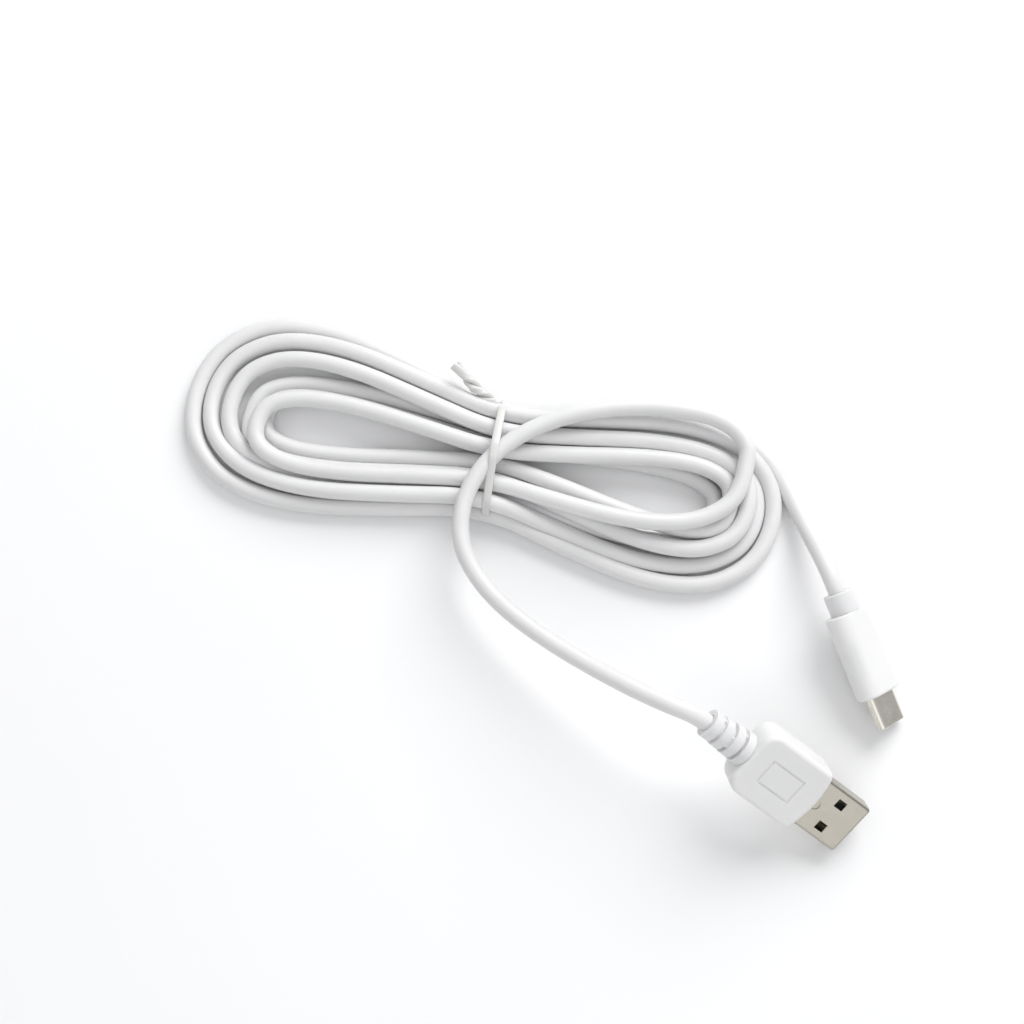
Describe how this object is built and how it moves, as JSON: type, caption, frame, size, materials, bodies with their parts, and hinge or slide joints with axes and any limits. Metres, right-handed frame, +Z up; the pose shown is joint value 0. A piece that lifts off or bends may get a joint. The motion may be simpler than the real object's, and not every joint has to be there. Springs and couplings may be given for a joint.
{
  "type": "charging cable",
  "caption": "White round charging cable wound into a flat figure-eight hank with a twist tie, USB-A plug on one free end and USB-C plug on the other.",
  "frame": {"origin": "on the surface the cable lies on, under the centre of its outline", "axes": "+X along the longest side of the outline, from the hank towards the plugs; +Z up from the surface, the shortest extent; +Y away from the USB-A plug"},
  "size_m": [0.1595, 0.1191, 0.022],
  "materials": {
    "cord_jacket": "smooth white elastomer with a soft sheen",
    "grip_plastic": "moulded white elastomer, fine satin grain",
    "relief_plastic": "moulded white elastomer, satin",
    "plug_steel": "bright plated steel with faint brushing",
    "plug_steel_small": "plated steel, satin on the flats and bright on the edges",
    "insulator_dark": "glass-filled polymer, matte",
    "contact_gold": "gold plated over nickel",
    "spring_steel": "bare spring steel",
    "can_steel": "tinned steel, dull",
    "braid_metal": "woven tinned copper strands",
    "inner_plastic": "unfinished low-pressure moulding",
    "lead_red": "extruded insulation",
    "lead_black": "extruded insulation",
    "lead_green": "extruded insulation",
    "lead_white": "extruded insulation",
    "solder": "solder, bright and slightly pitted",
    "board_green": "solder mask over glass fibre",
    "chip_black": "ceramic body with tinned ends",
    "tie_plastic": "thin extruded strip",
    "tie_steel": "soft galvanised wire"
  },
  "bodies": {
    "cable": {"cord_hank": "cord_jacket", "cord_tail_usb_a": "cord_jacket", "cord_tail_usb_c": "cord_jacket", "twist_tie_strip": "tie_plastic", "twist_tie_wire": "tie_steel", "usb_a_braid_foldback": "braid_metal", "usb_a_data_contacts": "contact_gold", "usb_a_inner_mould": "inner_plastic", "usb_a_lead_black": "lead_black", "usb_a_lead_green": "lead_green", "usb_a_lead_red": "lead_red", "usb_a_lead_white": "lead_white", "usb_a_overmould": "grip_plastic", "usb_a_power_contacts": "contact_gold", "usb_a_rear_can": "can_steel", "usb_a_shell": "plug_steel", "usb_a_solder_joints": "solder", "usb_a_strain_relief": "relief_plastic", "usb_a_tongue": "insulator_dark", "usb_c_braid_foldback": "braid_metal", "usb_c_collar": "relief_plastic", "usb_c_contacts_lower": "contact_gold", "usb_c_contacts_upper": "contact_gold", "usb_c_emi_springs": "spring_steel", "usb_c_housing": "insulator_dark", "usb_c_inner_mould": "inner_plastic", "usb_c_lead_black": "lead_black", "usb_c_lead_green": "lead_green", "usb_c_lead_red": "lead_red", "usb_c_lead_white": "lead_white", "usb_c_overmould": "grip_plastic", "usb_c_paddle_board": "board_green", "usb_c_pullup_resistor": "chip_black", "usb_c_rear_can": "can_steel", "usb_c_shell": "plug_steel_small", "usb_c_solder_joints": "solder"},
    "latch_left": {"usb_c_latch_left": "spring_steel"},
    "latch_right": {"usb_c_latch_right": "spring_steel"}
  },
  "joints": [
    {"name": "latch_left_flex", "type": "hinge", "parent": "cable", "child": "latch_left", "pos_m": [0.07502, -0.02153, 0.00322], "axis": [0.5724, 0.076, 0.8164], "range_deg": [0, 1.2], "stiffness_Nm_per_rad": 0.5},
    {"name": "latch_right_flex", "type": "hinge", "parent": "cable", "child": "latch_right", "pos_m": [0.07, -0.02428, 0.007], "axis": [-0.5724, -0.076, -0.8164], "range_deg": [0, 1.2], "stiffness_Nm_per_rad": 0.5}
  ]
}
